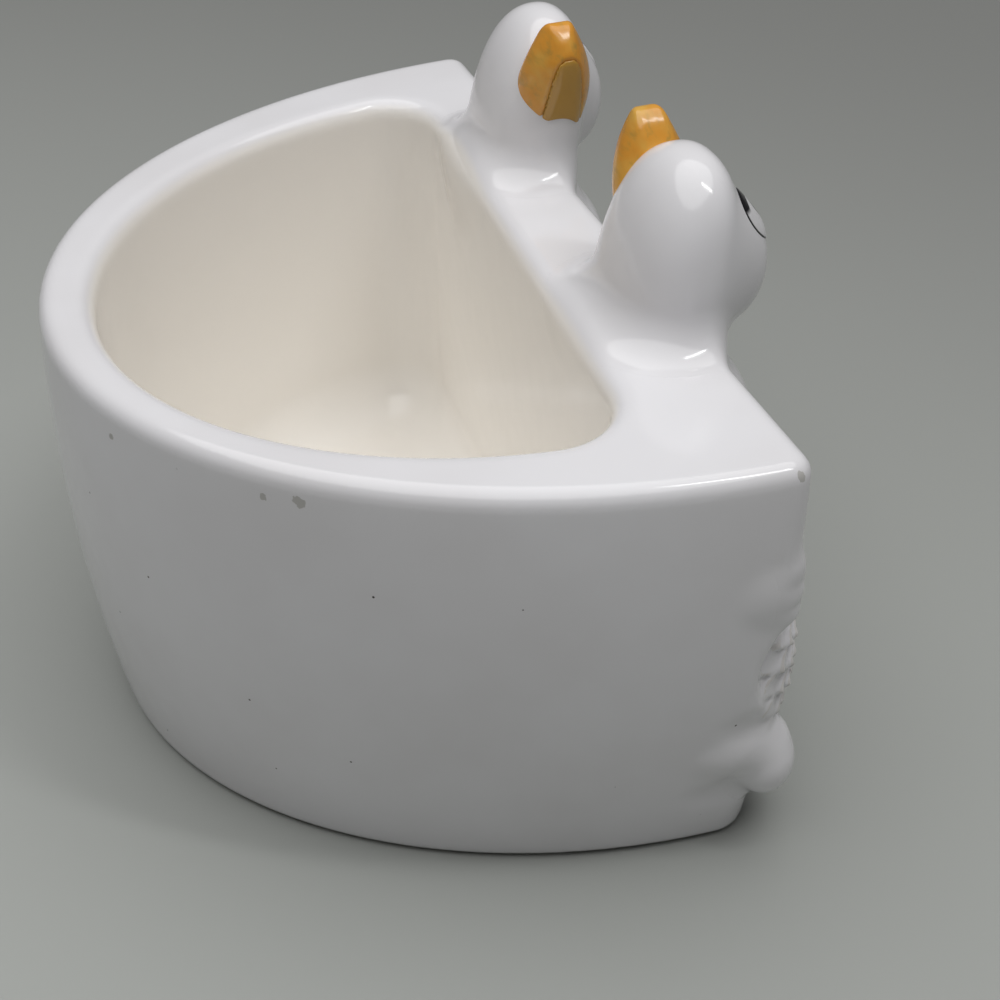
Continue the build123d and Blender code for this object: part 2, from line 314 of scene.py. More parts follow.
FOOT_RING, RECESS_DEPTH, RECESS_ROUND = 8.0, 1.2, 0.8
POT_STEP = 1.0


def pocket_form(points):
    """The room for the plant."""
    x, y, z = points.T
    inset = POCKET_DRAFT * np.clip((RIM - z) / (RIM - POCKET_FLOOR), 0, 1)
    depth = DEPTH - LEDGE - RIM_BACK - 2 * inset
    half_width = CORNER - RIM_SIDE - inset
    wall = half_round(x, y + POCKET_SKEW * x, half_width, depth, LEDGE + inset, POCKET_CORNER)
    return meet(wall, POCKET_FLOOR - z, FLOOR_ROUND)


def outside_form(points):
    """The pot's outside with the relief at its corners, before the pocket is cut."""
    x, y, z = points.T
    front, back = at_wall(FRONT_INSETS, z), at_wall(BACK_INSETS, z)
    half_width = CORNER - at_wall(SIDE_INSETS, z)
    wall = half_round(x, y, half_width, DEPTH - front - back, front, at_wall(CORNER_ROUNDS, z))
    wall = meet(wall, z - RIM, RIM_ROUND)
    mirrored = np.stack([np.abs(x), y, z], 1)
    for centre, half in SWELLS:
        wall = join(wall, egg(mirrored, centre, half), SWELL_FILLET)
    for centre, half in GROOVES:
        wall = cut(wall, egg(mirrored, centre, half), GROOVE_ROUND)
    wall = cut(wall, egg(mirrored, *HOLLOW), HOLLOW_ROUND)
    return meet(wall, -z, FOOT_ROUND)


def pot_form(points):
    """The pot with its pocket and the recess under its foot."""
    x, y, z = points.T
    pot = cut(outside_form(points), pocket_form(points), LIP_ROUND)
    side, back, front = (insets[0] + FOOT_RING for insets in (SIDE_INSETS, BACK_INSETS, FRONT_INSETS))
    recess = half_round(x, y, CORNER - side, DEPTH - back - front, front, CORNER_ROUNDS[0])
    return cut(pot, np.maximum(recess, z - RECESS_DEPTH), RECESS_ROUND)


pot_vertices, pot_faces = skin(pot_form, pot_low, pot_high, POT_STEP)
pot = make_piece("pot_casting", pot_vertices, pot_faces)

# %% [markdown]
# ## Goose: body, breast and head
# Each goose sits in profile against the front wall, so only half of its body stands out, and the
# body turns in towards the corner. The breast rises to the rim. Head and neck are one tall tongue of
# clay that leans forward and widens to the top, with the face pressed out in front. A subdivided box
# would need many hand-placed points. Here eggs and a column whose section changes with height run
# into each other.

# %% Goose forms
BODY_GAP, BODY_CORNER_GAP, BODY_UP, BODY_SUNK, BODY_BACK = 8.0, 3.6, 36.0, 2.5, 7.0
BODY_HALF = ((CORNER - BODY_CORNER_GAP - BODY_GAP) / 2, 10.5, 27.0)
BODY_CENTRE = (BODY_GAP + BODY_HALF[0], BODY_SUNK, BODY_UP)
BODY_TURN, BODY_TURN_START = 0.08, 50.0
BREAST_HEIGHTS = (RIM - 46.0, RIM - 22.0, RIM - 2.0)
BREAST_ACROSS, BREAST_OUT = (31.0, 30.0, 31.5), 0.5
BREAST_HALF_LENGTHS, BREAST_HALF_WIDTHS = (9.0, 20.0, 12.5), (2.0, 9.0, 5.0)
BREAST_SQUARENESS, BREAST_END = 2.5, 11.0
HEAD_HALF, HEAD_SQUARENESS, HEAD_SUNK = (14.3, 9.2, 26.2), 2.3, 4.3
HEAD_LEAN, HEAD_FLARE, FLARE_END, HEAD_TOP_GAP = 0.19, 0.12, 1.2, 0.5
FACE_HALF, FACE_BEHIND, FACE_OUT, FACE_RISE = (7.8, 8.5, 11.0), 2.6, 4.2, 7.9
BREAST_FILLET, HEAD_FILLET, FACE_FILLET = 9.0, 4.0, 3.5

head_low, head_high = node_box("right_goose_head")
HEAD_CENTRE = ((head_low[0] + head_high[0]) / 2, HEAD_SUNK, head_high[2] - HEAD_TOP_GAP - HEAD_HALF[2])
FACE_CENTRE = (HEAD_CENTRE[0] + FACE_BEHIND, -FACE_OUT, RIM + FACE_RISE)


def body_form(points):
    """Half an egg on the wall, turned in towards the corner."""
    turn = BODY_TURN * np.maximum(points[:, 0] - BODY_TURN_START, 0)
    turned = np.stack([points[:, 0], points[:, 1] - turn, points[:, 2]], 1)
    return np.maximum(egg(turned, BODY_CENTRE, BODY_HALF), points[:, 1] - BODY_BACK)


def breast_form(points):
    """A column whose section grows and shrinks with height."""
    x, y, z = points.T
    across = through(BREAST_HEIGHTS, BREAST_ACROSS, z)
    half_length = through(BREAST_HEIGHTS, BREAST_HALF_LENGTHS, z)
    half_width = through(BREAST_HEIGHTS, BREAST_HALF_WIDTHS, z)
    column = oval(x - across, y + BREAST_OUT, half_length, half_width, BREAST_SQUARENESS)
    ends = np.maximum(z - BREAST_HEIGHTS[-1], BREAST_HEIGHTS[0] - z)
    return meet(column, ends, BREAST_END)


def head_form(points):
    """The leaning tongue of head and neck, with the face in front."""
    x, y, z = (points - np.array(HEAD_CENTRE)).T
    flare = 1 + HEAD_FLARE * np.clip(z / HEAD_HALF[2], -FLARE_END, FLARE_END)
    upright = np.stack([x / flare, (y + HEAD_LEAN * z) / flare, z], 1)
    tongue = egg(upright, (0, 0, 0), HEAD_HALF, HEAD_SQUARENESS)
    return join(tongue, egg(points, FACE_CENTRE, FACE_HALF), FACE_FILLET)


print("head middle:", np.round(HEAD_CENTRE, 1), "face middle:", np.round(FACE_CENTRE, 1))

# %% [markdown]
# ## Goose: wing, tail and foot
# The wing is a leaf that lies on the body and runs round the corner. Rows of pointed feathers
# overlap like roof tiles, each row standing over the next one towards the tail. Placing single
# feather meshes would leave gaps, so the lift over the body is worked out from a scalloped edge for
# each row. The tail is a fan of three feathers, and the foot a round heel with a web and three toes.

# %% Wing, tail and foot forms
WING_START, WING_SHOULDER, WING_PAST_CORNER, WING_BEND_Y = 31.0, 19.0, 14.0, -3.0
WING_UP, WING_HALF_WIDTH, WING_RISE = 38.0, 14.0, math.radians(-9.0)
WING_TIP = CORNER + WING_PAST_CORNER - WING_START - WING_SHOULDER
WING_LIFT, WING_ROUND = 1.2, 0.9
FEATHER_ROWS, FEATHER_ROW_PITCH, FEATHER_PITCH, FEATHER_POINT = 11, 5.0, 4.8, 3.8
FEATHER_STEP, FEATHER_TILT, FEATHER_CROWN, FEATHER_EDGE = 0.62, 0.5, 0.3, 0.8
TAIL_LENGTH, TAIL_UP, TAIL_SUNK = 22.0, 47.5, 2.6
TAIL_ANGLES, TAIL_HALF_WIDTH, TAIL_HALF_THICKNESS = (10.0, 20.0, 30.0), 3.8, 3.6
HEEL_CENTRE, HEEL_HALF = (CORNER - 6.4, 2.4, 17.6), (7.0, 5.6, 7.2)
WEB_CENTRE, WEB_HALF = (CORNER - 19.0, 0.5, 13.5), (15.0, 5.0, 5.5)
TOE_ANGLES, TOE_HALF = (-11.0, 0.0, 11.0), (15.0, 5.9, 2.0)
FEATHER_FILLET, TAIL_FILLET, FOOT_FILLET = 0.5, 1.2, 1.5


def leaning_egg(points, root, angle, half):
    """Egg that starts at its root and points up from level by an angle, in the wall's plane."""
    lean = math.radians(angle)
    x, y, z = (points - np.array(root)).T
    along = math.cos(lean) * x + math.sin(lean) * z
    beside = math.cos(lean) * z - math.sin(lean) * x
    return egg(np.stack([along - half[0], y, beside], 1), (0, 0, 0), half)


def wing_form(points, body):
    """A leaf over the body, lifted by each row of feathers."""
    past_bend = np.maximum(points[:, 1] - WING_BEND_Y, 0)
    across = points[:, 0] + past_bend - WING_START - WING_SHOULDER
    up = points[:, 2] - WING_UP
    along = math.cos(WING_RISE) * across + math.sin(WING_RISE) * up
    side = math.cos(WING_RISE) * up - math.sin(WING_RISE) * across
    leaf = oval(along, side, np.where(along < 0, WING_SHOULDER, WING_TIP), WING_HALF_WIDTH)
    lift = np.full(len(points), WING_LIFT)
    for row in range(1, FEATHER_ROWS + 1):
        beside = (side / FEATHER_PITCH - row % 2 / 2 + 0.5) % 1 - 0.5
        point = 1 - (2 * beside) ** 2
        behind = WING_TIP - (row + 1) * FEATHER_ROW_PITCH + FEATHER_POINT * point - along
        run = np.clip(behind / FEATHER_ROW_PITCH, 0, 1)
        crown = FEATHER_CROWN * point * (1 - run)
        lift += ease(behind / FEATHER_EDGE) * (FEATHER_STEP + crown) - FEATHER_TILT * run
    return meet(leaf, body - lift, WING_ROUND)


def tail_form(points):
    """A fan of feathers that ends at the corner."""
    root = (CORNER - TAIL_LENGTH, TAIL_SUNK, TAIL_UP)
    fan = None
    for angle in TAIL_ANGLES:
        half_length = TAIL_LENGTH / math.cos(math.radians(angle)) / 2
        feather = leaning_egg(points, root, angle, (half_length, TAIL_HALF_THICKNESS, TAIL_HALF_WIDTH))
        fan = feather if fan is None else join(fan, feather, TAIL_FILLET)
    return fan


def foot_form(points):
    """Heel, web and toes."""
    foot = join(egg(points, HEEL_CENTRE, HEEL_HALF), egg(points, WEB_CENTRE, WEB_HALF), FOOT_FILLET)
    turned = points * np.array([-1, 1, 1])
    root = (-WEB_CENTRE[0] - WEB_HALF[0], 0, WEB_CENTRE[2])
    for angle in TOE_ANGLES:
        foot = join(foot, leaning_egg(turned, root, angle, TOE_HALF), FOOT_FILLET)
    return foot


def goose_form(points):
    """The whole goose without bill and eye."""
    body = body_form(points)
    goose = join(body, breast_form(points), BREAST_FILLET)
    goose = join(goose, head_form(points), HEAD_FILLET)
    goose = join(goose, wing_form(points, body), FEATHER_FILLET)
    goose = join(goose, tail_form(points), TAIL_FILLET)
    return join(goose, foot_form(points), FOOT_FILLET)


print("wing tip length:", round(float(WING_TIP), 1), "feather rows:", FEATHER_ROWS)

# %% [markdown]
# ## Goose skin
# On the real pot the goose flows into the wall, with a broad fillet on the ledge. The skin is
# therefore taken from goose and pot joined, and kept only where the goose is near. Where its fillet
# runs out on the wall it dips under the pot's own surface, and its closed back is sunk in the wall,
# so no seam shows. The left goose is the same form in a mirror, on its own side of the pot.

# %% Both geese
LEDGE_FILLET, WALL_FILLET = 7.0, 2.5
FILLET_LOW, FILLET_HIGH = RIM - 17.0, RIM - 3.0
SKIN_SUNK, SKIN_MARGIN, SKIN_DIP = 1.5, 1.2, 0.7
GOOSE_STEP = 0.6
GOOSE_LOW, GOOSE_HIGH = (4.0, -16.0, 1.0), (CORNER + 1.5, 26.0, head_high[2] + 1.0)


def fillet_of(points):
    """Radius of the fillet: small down the wall, broad on the ledge."""
    up = (points[:, 2] - FILLET_LOW) / (FILLET_HIGH - FILLET_LOW)
    return WALL_FILLET + (LEDGE_FILLET - WALL_FILLET) * ease(up)


def clay_form(flip):
    """Goose and pot in one, with the left goose flipped to the right."""
    def form(points):
        return join(goose_form(points), pot_form(points * flip), fillet_of(points))
    return form


def goose_skin_form(flip):
    """The part of that clay which is near the goose, closed behind."""
    def form(points):
        pot = pot_form(points * flip)
        goose = goose_form(points)
        radius = fillet_of(points)
        beyond = (goose - radius) / SKIN_MARGIN
        both = join(goose, pot, radius) + SKIN_DIP * np.clip(beyond, 0, 1) ** 2
        return np.maximum(np.maximum(both, -pot - SKIN_SUNK), goose - radius - SKIN_MARGIN)
    return form


SIDES = {"right": np.ones(3), "left": np.array([-1, 1, 1])}
geese, goose_points = {}, {}


def make_sided(name, side, vertices, faces):
    """A piece of the right goose, or its mirror image on the left."""
    turned = faces if side == "right" else faces[:, ::-1]
    return make_piece(f"{side}_{name}", vertices * SIDES[side], turned)


for side, flip in SIDES.items():
    goose_points[side], goose_faces = skin(goose_skin_form(flip), GOOSE_LOW, GOOSE_HIGH, GOOSE_STEP)
    geese[side] = make_sided("goose_casting", side, goose_points[side], goose_faces)

# %% [markdown]
# ## Bills
# The bill is a short blunt wedge: a rounded roof that arches forward, two swelling sides, and a
# steep front that runs down from the tip. The mouth is a fine line round that front. Upper and lower
# bill are cut from one form, so that they fit, and the lower one is a hair smaller.

# %% Bills
bill_low, bill_high = node_box("right_lower_bill")[0], node_box("right_upper_bill")[1]
BILL_MIDDLE = (HEAD_CENTRE[0], 1.0, RIM + 15.5)
BILL_STATIONS = (7.0, 14.0, 18.2)
BILL_HALF_WIDTHS = (6.3, 5.0, 1.2)
BILL_RIDGES = (6.2, 12.4, 7.2)
BILL_BOTTOMS = (-6.5, -4.8, 6.4)
ROOF_START, ROOF_END = 0.12, 0.80
BILL_BACK, BILL_EDGE, TIP_ROUND = 6.0, 0.6, 1.2
MOUTH_RISE, MOUTH_GAP, MOUTH_ROUND, LOWER_INSET = 1.1, 0.1, 0.25, 0.12
LEAST_BILL_HEIGHT, CURVE_RUN = 0.5, 0.1
BILL_ROOM_LOW, BILL_ROOM_HIGH, BILL_STEP = (2, 2, 2), (5, 2, 4), 0.25


def above(stations, values, forward, z):
    """Distance over a curve that is drawn through values along the bill."""
    runs = (-CURVE_RUN, 0, CURVE_RUN)
    before, here, after = (through(stations, values, forward + run) for run in runs)
    return (z - here) / np.hypot(1, (after - before) / (2 * CURVE_RUN))


def bill_levels(points):
    """Distances to the whole bill and to the curved sheet between its halves."""
    x, y, z = (points - np.array(BILL_MIDDLE)).T
    forward = -x
    bottom = through(BILL_STATIONS, BILL_BOTTOMS, forward)
    ridge = through(BILL_STATIONS, BILL_RIDGES, forward)
    down = np.clip((ridge - z) / np.maximum(ridge - bottom, LEAST_BILL_HEIGHT), 0, 1)
    roof = np.sin(math.pi * (ROOF_START + (ROOF_END - ROOF_START) * down))
    side = np.abs(y) - through(BILL_STATIONS, BILL_HALF_WIDTHS, forward) * roof
    over_front = above(BILL_STATIONS, BILL_BOTTOMS, forward, z)
    bill = meet(side, above(BILL_STATIONS, BILL_RIDGES, forward, z), BILL_EDGE)
    bill = meet(meet(bill, -over_front, BILL_EDGE), forward - BILL_STATIONS[-1], TIP_ROUND)
    return np.maximum(bill, BILL_BACK - forward), over_front - MOUTH_RISE


def upper_bill_form(points):
    """What lies above the mouth."""
    bill, mouth = bill_levels(points)
    return meet(bill, MOUTH_GAP / 2 - mouth, MOUTH_ROUND)


def lower_bill_form(points):
    """What lies below the mouth, a hair smaller."""
    bill, mouth = bill_levels(points)
    return meet(bill + LOWER_INSET, mouth + MOUTH_GAP / 2, MOUTH_ROUND)


bills = {}
for form, name in ((upper_bill_form, "upper_bill_glaze"), (lower_bill_form, "lower_bill_glaze")):
    bill_skin = skin(form, bill_low - BILL_ROOM_LOW, bill_high + BILL_ROOM_HIGH, BILL_STEP)
    bills[name] = {side: make_sided(name, side, *bill_skin) for side in SIDES}

# %% [markdown]
# ## Eyes
# Each eye is a low oval dome on the front of the head, painted with a fine brush. The dome follows
# the head's own form, so it sits flush all round. A map that starts in the eye's middle is kept on
# the mesh, because the paint is drawn in the eye's own plane: towards the bill, and up.

# %% Eyes
eye_low, eye_high = node_box("right_eye")
EYE_MIDDLE = (eye_low + eye_high) / 2
EYE_HALF_LENGTH, EYE_HALF_HEIGHT = (eye_high[0] - eye_low[0]) / 2, (eye_high[2] - eye_low[2]) / 2
EYE_BULGE, EYE_SUNK, EYE_ROUND = 0.5, 0.8, 0.25
EYE_ROOM, EYE_STEP = (1, 3, 1), 0.22
EYE_MAP = "eye_plane"


def eye_form(points):
    """A low oval dome over the head."""
    x, _, z = (points - EYE_MIDDLE).T
    outline = oval(x, z, EYE_HALF_LENGTH, EYE_HALF_HEIGHT)
    head = goose_form(points)
    full = 1 - (x / EYE_HALF_LENGTH) ** 2 - (z / EYE_HALF_HEIGHT) ** 2
    dome = head - EYE_BULGE * np.sqrt(np.clip(full, 0, 1))
    return np.maximum(meet(outline, dome, EYE_ROUND), -head - EYE_SUNK)


eye_vertices, eye_faces = skin(eye_form, eye_low - EYE_ROOM, eye_high + EYE_ROOM, EYE_STEP)
eyes = {side: make_sided("eye_enamel", side, eye_vertices, eye_faces) for side in SIDES}
for eye in eyes.values():
    corner_vertex = np.zeros(len(eye.data.loops), int)
    eye.data.loops.foreach_get("vertex_index", corner_vertex)
    towards_bill = (EYE_MIDDLE[0] - eye_vertices[:, 0]) / EYE_HALF_LENGTH
    upwards = (eye_vertices[:, 2] - EYE_MIDDLE[2]) / EYE_HALF_HEIGHT
    plane = np.stack([towards_bill, upwards], 1)[corner_vertex]
    eye.data.uv_layers.new(name=EYE_MAP).data.foreach_set("uv", plane.ravel())

# %% [markdown]
# ## What the glaze did
# Glaze thins on ridges and pools in grooves, and the inside of the pot was glazed with a clear
# coat over cream clay. The bend of each form is worked out at its vertices: above zero on a ridge,
# below zero in a groove. The materials read it together with the cream of the pocket, the outer wall
# where pinholes may show, and the bill's front, which is the lower bill and gets painted shade.

# %% Paint values on the vertices
BEND_REACH = 0.8
LIP_START, LIP_END = 0.0, 1.5
LIP_FADE, RIM_CLEAR, RIM_FADE = 2.0, 4.0, 4.0


def bend_of(form, points):
    """Mean bend of a form, as a sum of second differences."""
    around = -6 * form(points)
    for axis in range(3):
        offset = np.zeros(3)
        offset[axis] = BEND_REACH
        around += form(points + offset) + form(points - offset)
    return around / BEND_REACH ** 2


def cream_of(points):
    """1 in the pocket, 0 from the lip outwards."""
    return 1 - ease((pocket_form(points) - LIP_START) / (LIP_END - LIP_START))


past_lip = ease((pocket_form(pot_vertices) - LIP_END) / LIP_FADE)
below_rim = ease((RIM - pot_vertices[:, 2] - RIM_CLEAR) / RIM_FADE)
paint(pot, "bend", bend_of(pot_form, pot_vertices))
paint(pot, "cream", cream_of(pot_vertices))
paint(pot, "wall", past_lip * below_rim)
# The lower bill is marked 1, and its glaze turns it a darker brown: painted shade, for it faces down and
# away from the lamp.
for name, shade in (("upper_bill_glaze", 0.0), ("lower_bill_glaze", 1.0)):
    for bill in bills[name].values():
        paint(bill, "front", np.full(len(bill.data.vertices), shade))
for side, flip in SIDES.items():
    bend = bend_of(clay_form(flip), goose_points[side])
    paint(geese[side], "bend", bend)
    paint(geese[side], "cream", cream_of(goose_points[side] * flip))
    paint(geese[side], "wall", np.zeros(len(bend)))
    print(side, "goose bend from", bend.min().round(2), "to", bend.max().round(2))

# %% [markdown]
# ## Helpers for node trees
# The finishes are made of nodes, with no pictures. These helpers add a node with its settings, do
# sums, mix two colours and turn a range of values into a share.

# %% Helpers for node trees
def new_group(name, inputs, outputs):
    """An empty shader node group with named sockets."""
    group = bpy.data.node_groups.new(name, "ShaderNodeTree")
    for label, default in inputs.items():
        socket = group.interface.new_socket(label, in_out="INPUT", socket_type="NodeSocketFloat")
        socket.default_value = default
    for label in outputs:
        group.interface.new_socket(label, in_out="OUTPUT", socket_type="NodeSocketFloat")
    return group, group.nodes.new("NodeGroupInput"), group.nodes.new("NodeGroupOutput")


def add(tree, kind, **settings):
    """A node with settings on its properties or, by name, on its inputs."""
    node = tree.nodes.new("ShaderNode" + kind)
    for key, value in settings.items():
        if hasattr(node, key):
            setattr(node, key, value)
        else:
            node.inputs[key.replace("_", " ")].default_value = value
    return node


def math_node(tree, operation, a, b=None, clamp=False):
    """A math node whose inputs are sockets or numbers; returns its output."""
    node = add(tree, "Math", operation=operation, use_clamp=clamp)
    for socket, value in zip(node.inputs, (a, b)):
        if isinstance(value, bpy.types.NodeSocket):
            tree.links.new(value, socket)
        elif value is not None:
            socket.default_value = value
    return node.outputs[0]


def mix_colour(tree, share, a, b):
    """A colour between two, by a share; each is a socket or a colour."""
    node = add(tree, "Mix", data_type="RGBA")
    sockets = [s for s in node.inputs if s.enabled]
    for socket, value in zip(sockets, (share, a, b)):
        if isinstance(value, bpy.types.NodeSocket):
            tree.links.new(value, socket)
        else:
            socket.default_value = value if not isinstance(value, tuple) else (*value, 1)
    return next(s for s in node.outputs if s.enabled)


def between(tree, value, low, high):
    """0 below low, 1 above high, smooth in between."""
    node = add(tree, "MapRange", interpolation_type="SMOOTHSTEP")
    node.inputs["From Min"].default_value = low
    node.inputs["From Max"].default_value = high
    tree.links.new(value, node.inputs["Value"])
    return node.outputs["Result"]


# %% [markdown]
# ## Glaze depth and kiln marks
# Glaze is never quite even: it lies in soft clouds with a fine ripple. All three finishes use that
# for colour, roughness and a low bump, so it is a node group. Kiln marks are rare dark pinholes where
# a gas bubble burst, and they are a group too, ready for any other glazed piece.

# %% Glaze depth and kiln marks
PINHOLE_EDGE = (0.6, 1.0)
depth_group, depth_in, depth_out = new_group(
    "glaze_depth", {"Cloud Scale": 28.0, "Ripple Scale": 130.0}, ["Cloud", "Ripple"]
)
place = add(depth_group, "TexCoord").outputs["Object"]
cloud = add(depth_group, "TexNoise", Detail=3.0, Roughness=0.55)
ripple = add(depth_group, "TexNoise", Detail=1.5, Roughness=0.4)
for noise, label, result in ((cloud, "Cloud Scale", "Cloud"), (ripple, "Ripple Scale", "Ripple")):
    depth_group.links.new(place, noise.inputs["Vector"])
    depth_group.links.new(depth_in.outputs[label], noise.inputs["Scale"])
    depth_group.links.new(noise.outputs["Fac"], depth_out.inputs[result])

marks_group, marks_in, marks_out = new_group(
    "kiln_marks", {"Scale": 160.0, "Size": 0.04}, ["Pinhole"]
)
cell = add(marks_group, "TexVoronoi")
marks_group.links.new(add(marks_group, "TexCoord").outputs["Object"], cell.inputs["Vector"])
marks_group.links.new(marks_in.outputs["Scale"], cell.inputs["Scale"])
share = math_node(marks_group, "DIVIDE", cell.outputs["Distance"], marks_in.outputs["Size"])
hole = math_node(marks_group, "SUBTRACT", 1.0, between(marks_group, share, *PINHOLE_EDGE))
marks_group.links.new(hole, marks_out.inputs["Pinhole"])
print("groups:", depth_group.name, marks_group.name)

# %% [markdown]
# ## White glaze
# An opaque white earthenware glaze: glossy, faintly blue where it is thick, a little warmer and
# darker where it thins on ridges. The pocket is cream, the ring under the foot is bare clay, and four
# small chips on the rim's edge show the body. A noise is added to the distance from each chip's
# middle, so that its edge is ragged.

# %% White glaze
WHITE, THICK_WHITE, THIN_WHITE = (0.77, 0.76, 0.775), (0.81, 0.805, 0.825), (0.71, 0.69, 0.67)
CREAM, BARE_CLAY, PINHOLE = (0.93, 0.90, 0.85), (0.60, 0.54, 0.46), (0.07, 0.06, 0.055)
CHIPPED = (0.52, 0.51, 0.49)
CLOUD_RANGE, RIDGE_RANGE, BARE_RANGE = (0.3, 0.7), (0.5, 1.6), (0.1 * MM, 0.6 * MM)
GLAZE_ROUGHNESS, DULL_ROUGHNESS, GLAZE_RIPPLE = (0.07, 0.10), 0.8, 0.05 * MM
CHIP_RAGGED, CHIP_GRAIN = 1.6, 900.0
CHIPS = (
    (-28.7, 91.1, 71.8, 0.6),
    (-52.9, 73.4, 72.8, 0.6),
    (-56.7, 69.1, 73.2, 0.9),
    (-79.8, 2.8, 75.9, 0.8),
)


def place_group(tree, group, **values):
    """A node group with values on its inputs, by name."""
    node = tree.nodes.new("ShaderNodeGroup")
    node.node_tree = group
    for label, value in values.items():
        node.inputs[label.replace("_", " ")].default_value = value
    return node


def new_material(name):
    """A material, its node tree and its shader."""
    material = bpy.data.materials.new(name)
    material.use_nodes = True
    return material, material.node_tree, material.node_tree.nodes["Principled BSDF"]


def cloudy_roughness(tree, cloud, least, spread):
    """Roughness that drifts with the cloud of the glaze."""
    rough = math_node(tree, "MULTIPLY_ADD", cloud, spread)
    rough.node.inputs[2].default_value = least
    return rough


def low_bump(tree, shader, height, distance):
    """A bump on the shader's normal."""
    bump = add(tree, "Bump", Distance=distance)
    tree.links.new(height, bump.inputs["Height"])
    tree.links.new(bump.outputs["Normal"], shader.inputs["Normal"])


def chips_of(tree, place):
    """1 in the chips, 0 elsewhere."""
    wobble = add(tree, "TexNoise", Scale=CHIP_GRAIN, Detail=2.0)
    tree.links.new(place, wobble.inputs["Vector"])
    ragged = math_node(tree, "MULTIPLY", wobble.outputs["Fac"], CHIP_RAGGED * MM)
    chipped = None
    for x, y, z, size in CHIPS:
        gap = add(tree, "VectorMath", operation="DISTANCE")
        tree.links.new(place, gap.inputs[0])
        gap.inputs[1].default_value = to_frame(np.array([x, y, z]))
        far = math_node(tree, "ADD", gap.outputs["Value"], ragged)
        near = math_node(tree, "LESS_THAN", far, (size + CHIP_RAGGED / 2) * MM)
        chipped = near if chipped is None else math_node(tree, "MAXIMUM", chipped, near)
    return chipped


def make_white_glaze():
    """White glaze with cream, bare clay, chips and pinholes."""
    material, tree, shader = new_material("white_glaze")
    depth = place_group(tree, depth_group)
    marks = place_group(tree, marks_group)
    bend = add(tree, "Attribute", attribute_name="bend").outputs["Fac"]
    cream = add(tree, "Attribute", attribute_name="cream").outputs["Fac"]
    colour = mix_colour(tree, between(tree, depth.outputs["Cloud"], *CLOUD_RANGE), WHITE, THICK_WHITE)
    colour = mix_colour(tree, between(tree, bend, *RIDGE_RANGE), colour, THIN_WHITE)
    colour = mix_colour(tree, cream, colour, CREAM)
    place = add(tree, "TexCoord").outputs["Object"]
    chipped = chips_of(tree, place)
    colour = mix_colour(tree, chipped, colour, CHIPPED)
    split = add(tree, "SeparateXYZ")
    tree.links.new(place, split.inputs["Vector"])
    bare = math_node(tree, "SUBTRACT", 1.0, between(tree, split.outputs["Z"], *BARE_RANGE))
    colour = mix_colour(tree, bare, colour, BARE_CLAY)
    wall = add(tree, "Attribute", attribute_name="wall").outputs["Fac"]
    pinhole = math_node(tree, "MULTIPLY", marks.outputs["Pinhole"], wall)
    colour = mix_colour(tree, pinhole, colour, PINHOLE)
    tree.links.new(colour, shader.inputs["Base Color"])
    dull = math_node(tree, "MAXIMUM", chipped, bare)
    rough = cloudy_roughness(tree, depth.outputs["Cloud"], *GLAZE_ROUGHNESS)
    rough = math_node(tree, "MAXIMUM", rough, math_node(tree, "MULTIPLY", dull, DULL_ROUGHNESS))
    tree.links.new(rough, shader.inputs["Roughness"])
    low_bump(tree, shader, depth.outputs["Ripple"], GLAZE_RIPPLE)
    return material


white_glaze = make_white_glaze()
print(white_glaze.name, "nodes:", len(white_glaze.node_tree.nodes))

# %% [markdown]
# ## Bill overglaze
# The bills were brushed with a warm yellow enamel over the white and fired again. The coat is
# uneven: yellow and orange drift into each other, and the brush left ochre streaks along the bill.
# The lower bill is painted a darker brown as shade, since it faces down and away from the lamp.
# A noise that is stretched along the bill gives the streaks.

# %% Bill overglaze
YELLOW, ORANGE, OCHRE = (0.74, 0.42, 0.085), (0.74, 0.33, 0.045), (0.50, 0.29, 0.06)
# Painted shade: a darker brown for the lower bill, which faces down and away from the lamp.
SHADED_BROWN = (0.54, 0.30, 0.055)
COAT_RANGE, STREAK_RANGE, STREAK_STRETCH = (0.35, 0.65), (0.5, 0.8), (90.0, 700.0, 500.0)
BILL_ROUGHNESS, BILL_RIPPLE = (0.10, 0.15), 0.08 * MM


def make_bill_glaze():
    """Yellow and orange enamel with brush streaks, and painted shade in brown on the lower bill."""
    material, tree, shader = new_material("bill_overglaze")
    depth = place_group(tree, depth_group, Cloud_Scale=150.0, Ripple_Scale=600.0)
    colour = mix_colour(tree, between(tree, depth.outputs["Cloud"], *COAT_RANGE), YELLOW, ORANGE)
    brush = add(tree, "TexNoise", Scale=1.0, Detail=3.0)
    stretch = add(tree, "Mapping")
    stretch.inputs["Scale"].default_value = STREAK_STRETCH
    tree.links.new(add(tree, "TexCoord").outputs["Object"], stretch.inputs["Vector"])
    tree.links.new(stretch.outputs["Vector"], brush.inputs["Vector"])
    colour = mix_colour(tree, between(tree, brush.outputs["Fac"], *STREAK_RANGE), colour, OCHRE)
    # Painted shade: where front is 1, on the lower bill, the colour turns a darker brown.
    front = add(tree, "Attribute", attribute_name="front").outputs["Fac"]
    colour = mix_colour(tree, front, colour, SHADED_BROWN)
    tree.links.new(colour, shader.inputs["Base Color"])
    rough = cloudy_roughness(tree, depth.outputs["Cloud"], *BILL_ROUGHNESS)
    tree.links.new(rough, shader.inputs["Roughness"])
    low_bump(tree, shader, depth.outputs["Ripple"], BILL_RIPPLE)
    return material


bill_glaze = make_bill_glaze()
print(bill_glaze.name, "nodes:", len(bill_glaze.node_tree.nodes))
